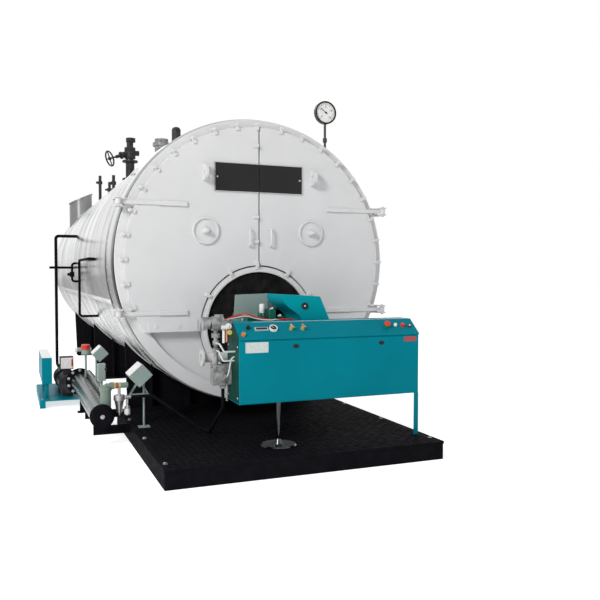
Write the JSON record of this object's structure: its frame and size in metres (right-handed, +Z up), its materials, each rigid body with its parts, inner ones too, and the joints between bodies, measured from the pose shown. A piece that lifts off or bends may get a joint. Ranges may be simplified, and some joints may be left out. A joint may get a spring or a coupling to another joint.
{
  "type": "horizontal fire-tube steam boiler",
  "caption": "Horizontal fire-tube steam boiler with double smokebox doors, a front oil burner in a long cabinet, and oil preheating gear at its side.",
  "frame": {"origin": "on the floor, below the drum axis, in the plane of the smokebox doors", "axes": "+X to the right facing the firing end, +Y along the drum to the back, +Z up"},
  "size_m": [3.234, 10.07, 3.665],
  "materials": {
    "bare_steel": "satin",
    "black_paint": "satin",
    "box_grey": "satin",
    "casing_steel": "polished",
    "cast_dark": "matt",
    "chrome": "polished",
    "dial": "gloss",
    "front_paint": "gloss",
    "plate_black": "gloss",
    "refractory": "matt",
    "teal_paint": "satin"
  },
  "bodies": {
    "root": {"burner_conduits": "bare_steel", "burner_housing": "teal_paint", "burner_inlet": "bare_steel", "burner_internals": "box_grey", "burner_plate": "refractory", "burner_ring": "front_paint", "burner_throat": "bare_steel", "cabinet_body": "teal_paint", "cabinet_leg": "teal_paint", "casing_bead": "casing_steel", "casing_courses": "casing_steel", "casing_latches": "casing_steel", "control_strip": "teal_paint", "crown_nozzle": "bare_steel", "door_frame": "front_paint", "feed_pump": "cast_dark", "flue_stub": "bare_steel", "front_casing_band": "casing_steel", "front_flange": "front_paint", "front_tube_plate": "cast_dark", "fuel_pipe": "black_paint", "furnace_neck": "cast_dark", "hinge_brackets": "front_paint", "instrument_boxes": "box_grey", "lower_front_plate": "front_paint", "oil_strainer": "bare_steel", "pedestal": "chrome", "platform_deck": "black_paint", "platform_frame": "black_paint", "preheater_feet": "black_paint", "preheater_flanges": "black_paint", "preheater_outlet": "box_grey", "preheater_vessel": "bare_steel", "pressure_gauge": "dial", "pump_skid": "black_paint", "pump_terminal_box": "teal_paint", "rear_head": "casing_steel", "rear_inspection_cover": "front_paint", "saddles": "black_paint", "side_pipes": "black_paint", "small_valves": "cast_dark", "steam_valve": "cast_dark", "strip_controls": "cast_dark", "tall_pipe": "black_paint", "valve_train": "bare_steel"},
    "left_door": {"left_door": "front_paint", "left_door_clamps": "front_paint", "left_door_handles": "front_paint", "left_door_lining": "refractory", "left_hinge_straps": "front_paint", "left_inspection_cover": "front_paint", "left_name_plate": "plate_black"},
    "right_door": {"right_door": "front_paint", "right_door_clamps": "front_paint", "right_door_handles": "front_paint", "right_door_lining": "refractory", "right_hinge_straps": "front_paint", "right_inspection_cover": "front_paint", "right_name_plate": "plate_black"},
    "valve_wheel": {"steam_valve_wheel": "cast_dark"}
  },
  "joints": [
    {"name": "left_door_hinge", "type": "hinge", "parent": "root", "child": "left_door", "pos_m": [-1.3, -0.03, 1.65], "axis": [0, 0, -1], "range_deg": [0, 110]},
    {"name": "right_door_hinge", "type": "hinge", "parent": "root", "child": "right_door", "pos_m": [1.3, -0.03, 1.65], "axis": [0, 0, 1], "range_deg": [0, 110]},
    {"name": "steam_valve_turn", "type": "hinge", "parent": "root", "child": "valve_wheel", "pos_m": [-0.7262, 4.99401, 3.31016], "axis": [0.8937, 0.2904, 0.342], "continuous": true}
  ]
}
